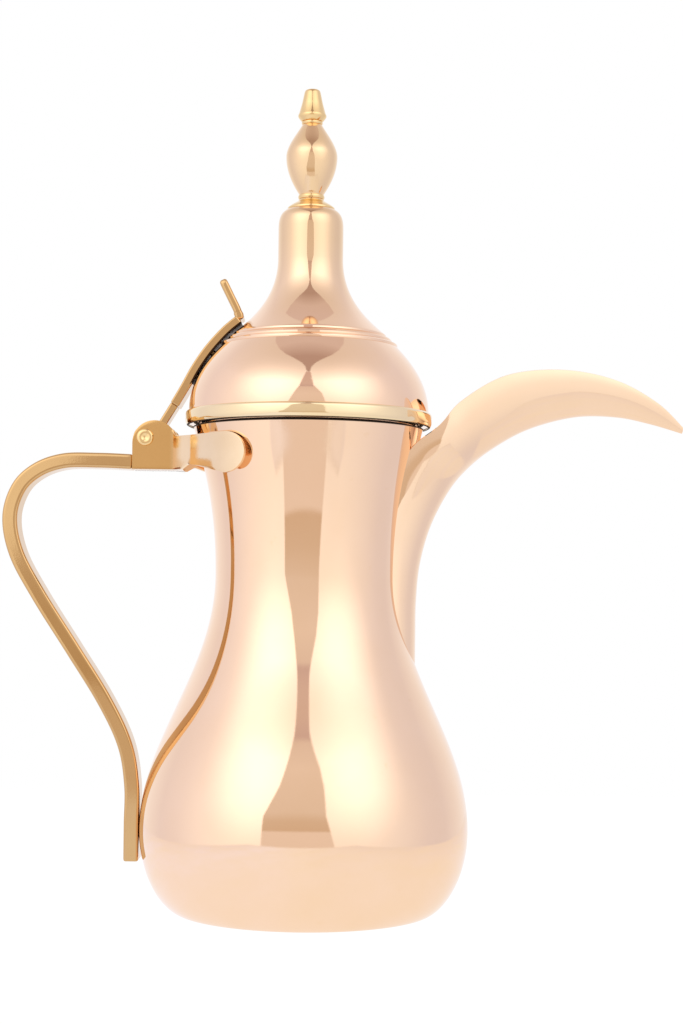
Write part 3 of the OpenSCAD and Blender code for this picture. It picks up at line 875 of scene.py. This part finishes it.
def studio_world():
    world = bpy.data.worlds.new("studio")
    bpy.context.scene.world = world
    world.use_nodes = True
    tree = world.node_tree
    tree.nodes.clear()
    n = Nodes(tree)
    towards = n.add("ShaderNodeTexCoord").outputs["Generated"]
    parts = n.add("ShaderNodeSeparateXYZ")
    n.link(towards, parts.inputs[0])
    height = parts.outputs["Z"]
    # Front panels, cooler side walls and a white back wall
    total = n.blend(n.span(parts.outputs["Y"], -0.75, 0.1, 0, 1),
                    (0.98, 0.96, 0.97), (0.87, 0.85, 0.95))
    total = n.blend(n.span(parts.outputs["Y"], 0.45, 0.85, 0, 1), total, (1.0, 0.99, 1.02))
    total = n.blend(n.span(parts.outputs["X"], -0.2, 0.9, 0, 0.06), total, (0, 0, 0))
    for azimuth, elevation, strength, wide, power in (
            (-38, 34, 0.58, 44, 2.2), (42, 34, 0.56, 44, 2.2),
            (-42, 20, 0.22, 80, 1.6), (40, 20, 0.15, 70, 1.6)):
        a, e = math.radians(azimuth), math.radians(elevation)
        aim = n.add("ShaderNodeVectorMath", operation="DOT_PRODUCT")
        n.link(towards, aim.inputs[0])
        aim.inputs[1].default_value = (
            math.sin(a) * math.cos(e), -math.cos(a) * math.cos(e), math.sin(e))
        near = n.span(aim.outputs["Value"], math.cos(math.radians(wide)), 1, 0, 1)
        lit = n.math("MULTIPLY", n.math("POWER", near, power), strength)
        total = n.blend(lit, total, (1.0, 1.0, 1.02), "ADD")
    total = n.blend(n.span(height, 0.60, 0.95, 0, 1), total, (0.80, 0.74, 0.72))
    camera_ray = n.add("ShaderNodeLightPath").outputs["Is Camera Ray"]
    colour = n.blend(camera_ray, total, (1, 1, 1))
    background = n.add("ShaderNodeBackground")
    n.link(colour, background.inputs["Color"])
    out = n.add("ShaderNodeOutputWorld")
    n.link(background.outputs["Background"], out.inputs["Surface"])


studio_world()


def floor_colour(n, emission):
    place = n.add("ShaderNodeTexCoord").outputs["Object"]
    parts = n.add("ShaderNodeSeparateXYZ")
    n.link(place, parts.inputs[0])
    cloud = n.span(n.noise(place, 14, 4, 0.6), 0.3, 0.7, 0, 1)
    across = n.span(parts.outputs["X"], -TENT_SIDE, TENT_SIDE, 0, 1)
    tint = ramp(n, across, [
        (0.00, (0.94, 0.92, 1.04)), (0.25, (1.00, 1.02, 1.22)), (0.50, (1.01, 1.00, 1.04)),
        (0.75, (0.97, 0.95, 1.00)), (1.00, (0.90, 0.87, 0.94))])
    tint = n.blend(n.math("MULTIPLY", cloud, 0.5), tint, (0.98, 0.95, 0.84))
    front = n.span(parts.outputs["Y"], TENT_FRONT + 0.004, TENT_FRONT + 0.010, 0.6, 0)
    tint = n.blend(front, tint, (0.70, 0.58, 0.50))
    # Seen directly, the floor is plain and as pale as its surroundings
    camera_ray = n.add("ShaderNodeLightPath").outputs["Is Camera Ray"]
    n.link(n.blend(camera_ray, tint, (1.05, 1.05, 1.05)), emission.inputs["Color"])


# The floor lies a little below the base, so that the two do not share a plane.
FLOOR_Z = -0.0003
floor = card("studio_floor", [
    (-TENT_SIDE, TENT_FRONT, FLOOR_Z), (TENT_SIDE, TENT_FRONT, FLOOR_Z),
    (TENT_SIDE, TENT_BACK, FLOOR_Z), (-TENT_SIDE, TENT_BACK, FLOOR_Z)],
    glow("studio_floor", floor_colour))
floor.visible_camera = True
floor.visible_diffuse = True

scene = bpy.context.scene
scene.view_settings.view_transform = "Standard"
scene.view_settings.look = "None"

LIGHT_AT, LIGHT_AIM = Vector((-0.5, -0.7, 0.9)), Vector((0, 0, 0.12))
light_data = bpy.data.lights.new("key", "AREA")
light_data.energy = 4
light_data.size = 0.6
light = bpy.data.objects.new("key", light_data)
scene.collection.objects.link(light)
light.location = LIGHT_AT
light.rotation_euler = (LIGHT_AIM - light.location).to_track_quat("-Z", "Y").to_euler()
light.visible_glossy = False

# ---- Camera ----

CAMERA_AT = Vector((0.0131, -0.70, 0.1195))
CAMERA_ROLL = math.radians(0.7)
camera_data = bpy.data.cameras.new("camera")
camera_data.sensor_width = 36
camera_data.lens = 65.6
camera_data.shift_y = 0.0771
camera = bpy.data.objects.new("camera", camera_data)
scene.collection.objects.link(camera)
camera.matrix_world = (
    Matrix.Translation(CAMERA_AT) @ Matrix.Rotation(math.radians(90), 4, "X")
    @ Matrix.Rotation(CAMERA_ROLL, 4, "Z"))
scene.camera = camera
